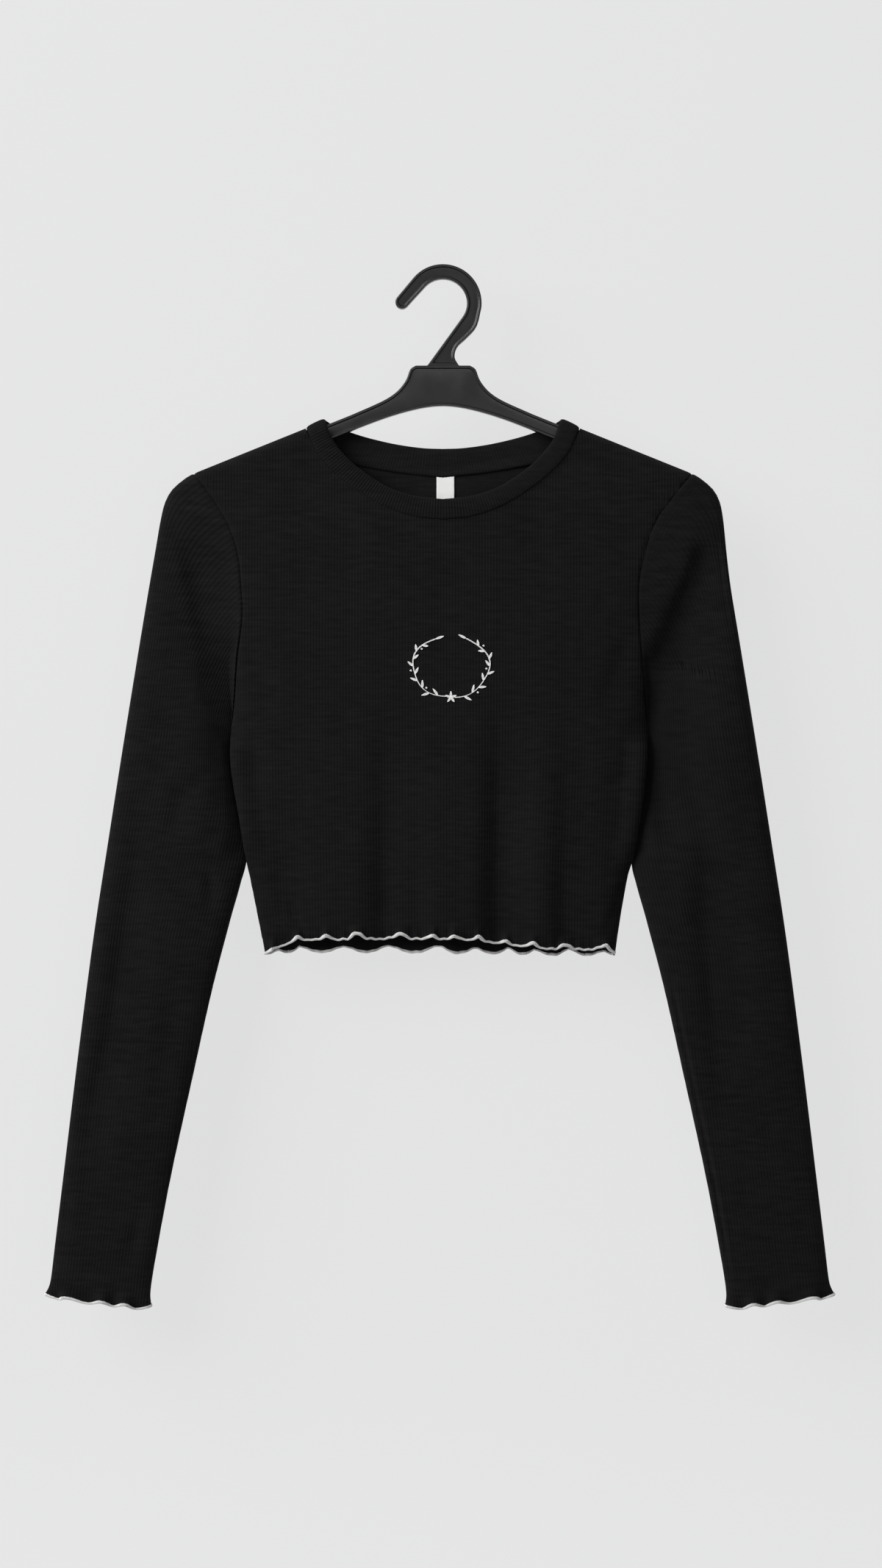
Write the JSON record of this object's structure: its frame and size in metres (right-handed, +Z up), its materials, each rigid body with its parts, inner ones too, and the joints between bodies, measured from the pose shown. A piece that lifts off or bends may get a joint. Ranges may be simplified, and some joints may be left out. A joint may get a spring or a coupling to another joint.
{
  "type": "crop top on a hanger",
  "caption": "Long-sleeved cropped rib-knit top with a crew neckband and ruffled hems, hung flat on a moulded plastic hanger.",
  "frame": {"origin": "inner top of the hanger's hook, where it rests on a rail", "axes": "+X to the viewer's right across the shoulders, +Y from the garment's front to its back, +Z up"},
  "size_m": [0.5934, 0.0327, 0.7817],
  "materials": {
    "rib_knit": "fine black rib knit, matt, soft",
    "neck_rib": "doubled black rib knit",
    "label_satin": "blank white woven satin",
    "hanger_plastic": "charcoal black moulded plastic, satin",
    "white_thread": "white overlock and embroidery thread"
  },
  "bodies": {
    "root": {"hanger": "hanger_plastic", "front": "rib_knit", "back": "rib_knit", "sleeve_left": "rib_knit", "sleeve_right": "rib_knit", "neckband": "neck_rib", "neck_label": "label_satin"}
  },
  "joints": []
}
